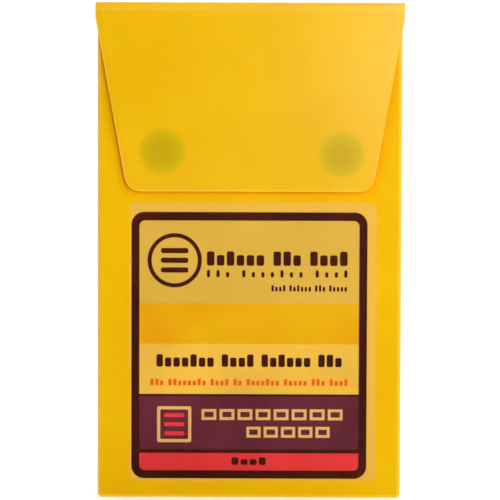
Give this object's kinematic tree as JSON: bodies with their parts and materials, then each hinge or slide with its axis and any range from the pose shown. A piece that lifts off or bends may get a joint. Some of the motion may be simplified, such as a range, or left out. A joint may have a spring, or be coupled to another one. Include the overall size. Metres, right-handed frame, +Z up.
{
  "type": "form holder pouch",
  "caption": "Upright translucent plastic form pouch with a fold-over flap held by hook-and-loop coins, a printed label, a form pad and a click pen inside.",
  "frame": {"origin": "middle of the pouch's base, half way through its whole depth", "axes": "+Z up towards the flap's crease, +Y out of the back panel, -Y out of the flap, +X to the right seen from the front"},
  "size_m": [0.165, 0.0224, 0.266],
  "materials": {
    "yellow_sheet": "frosted translucent polypropylene",
    "hook_fabric": "woven hook pile",
    "loop_fabric": "brushed loop pile",
    "label_paper": "printed, satin",
    "chipboard": "grey-brown chipboard",
    "form_paper": "uncoated",
    "cover_card": "smooth card",
    "binding_cloth": "fine bookbinding cloth tape",
    "staple_wire": "zinc",
    "pen_body": "moulded",
    "pen_rubber": "soft grip",
    "pen_metal": "plated",
    "ink_tube": "natural tube with dark ink",
    "cam_plastic": "acetal"
  },
  "bodies": {
    "pouch": {"back_panel": "yellow_sheet", "front_panel": "yellow_sheet", "bottom_gusset": "yellow_sheet", "left_gusset": "yellow_sheet", "right_gusset": "yellow_sheet", "left_flange": "yellow_sheet", "right_flange": "yellow_sheet", "bottom_flange": "yellow_sheet", "hook_coin_left": "hook_fabric", "hook_coin_right": "hook_fabric", "label_sheet": "label_paper", "pen_loop": "yellow_sheet"},
    "spine": {"top_spine": "yellow_sheet"},
    "flap": {"flap": "yellow_sheet", "loop_coin_left": "loop_fabric", "loop_coin_right": "loop_fabric"},
    "pad": {"pad_board": "chipboard", "pad_forms": "form_paper", "pad_cover": "cover_card", "pad_tape": "binding_cloth", "pad_staples": "staple_wire"},
    "pen": {"pen_nose": "pen_metal", "pen_grip": "pen_rubber", "pen_barrel": "pen_body", "pen_clip": "pen_metal", "pen_spring": "pen_metal"},
    "pen_core": {"pen_refill": "ink_tube", "pen_cam": "cam_plastic", "pen_button": "pen_body"}
  },
  "joints": [
    {"name": "spine_fold", "type": "hinge", "parent": "pouch", "child": "spine", "pos_m": [0, 0.0108, 0.2656], "axis": [-1, 0, 0], "range_deg": [0, 180]},
    {"name": "flap_fold", "type": "hinge", "parent": "spine", "child": "flap", "pos_m": [0, -0.0108, 0.2656], "axis": [-1, 0, 0], "range_deg": [0, 180]},
    {"name": "pad_lift", "type": "slide", "parent": "pouch", "child": "pad", "axis": [0, 0, 1], "range_m": [0, 0.045]},
    {"name": "pen_lift", "type": "slide", "parent": "pouch", "child": "pen", "axis": [0, 0, 1], "range_m": [0, 0.035]},
    {"name": "pen_click", "type": "slide", "parent": "pen", "child": "pen_core", "axis": [0, 0, -1], "range_m": [0, 0.0055], "stiffness_N_per_m": 250, "deforming": ["pen_spring"]}
  ]
}
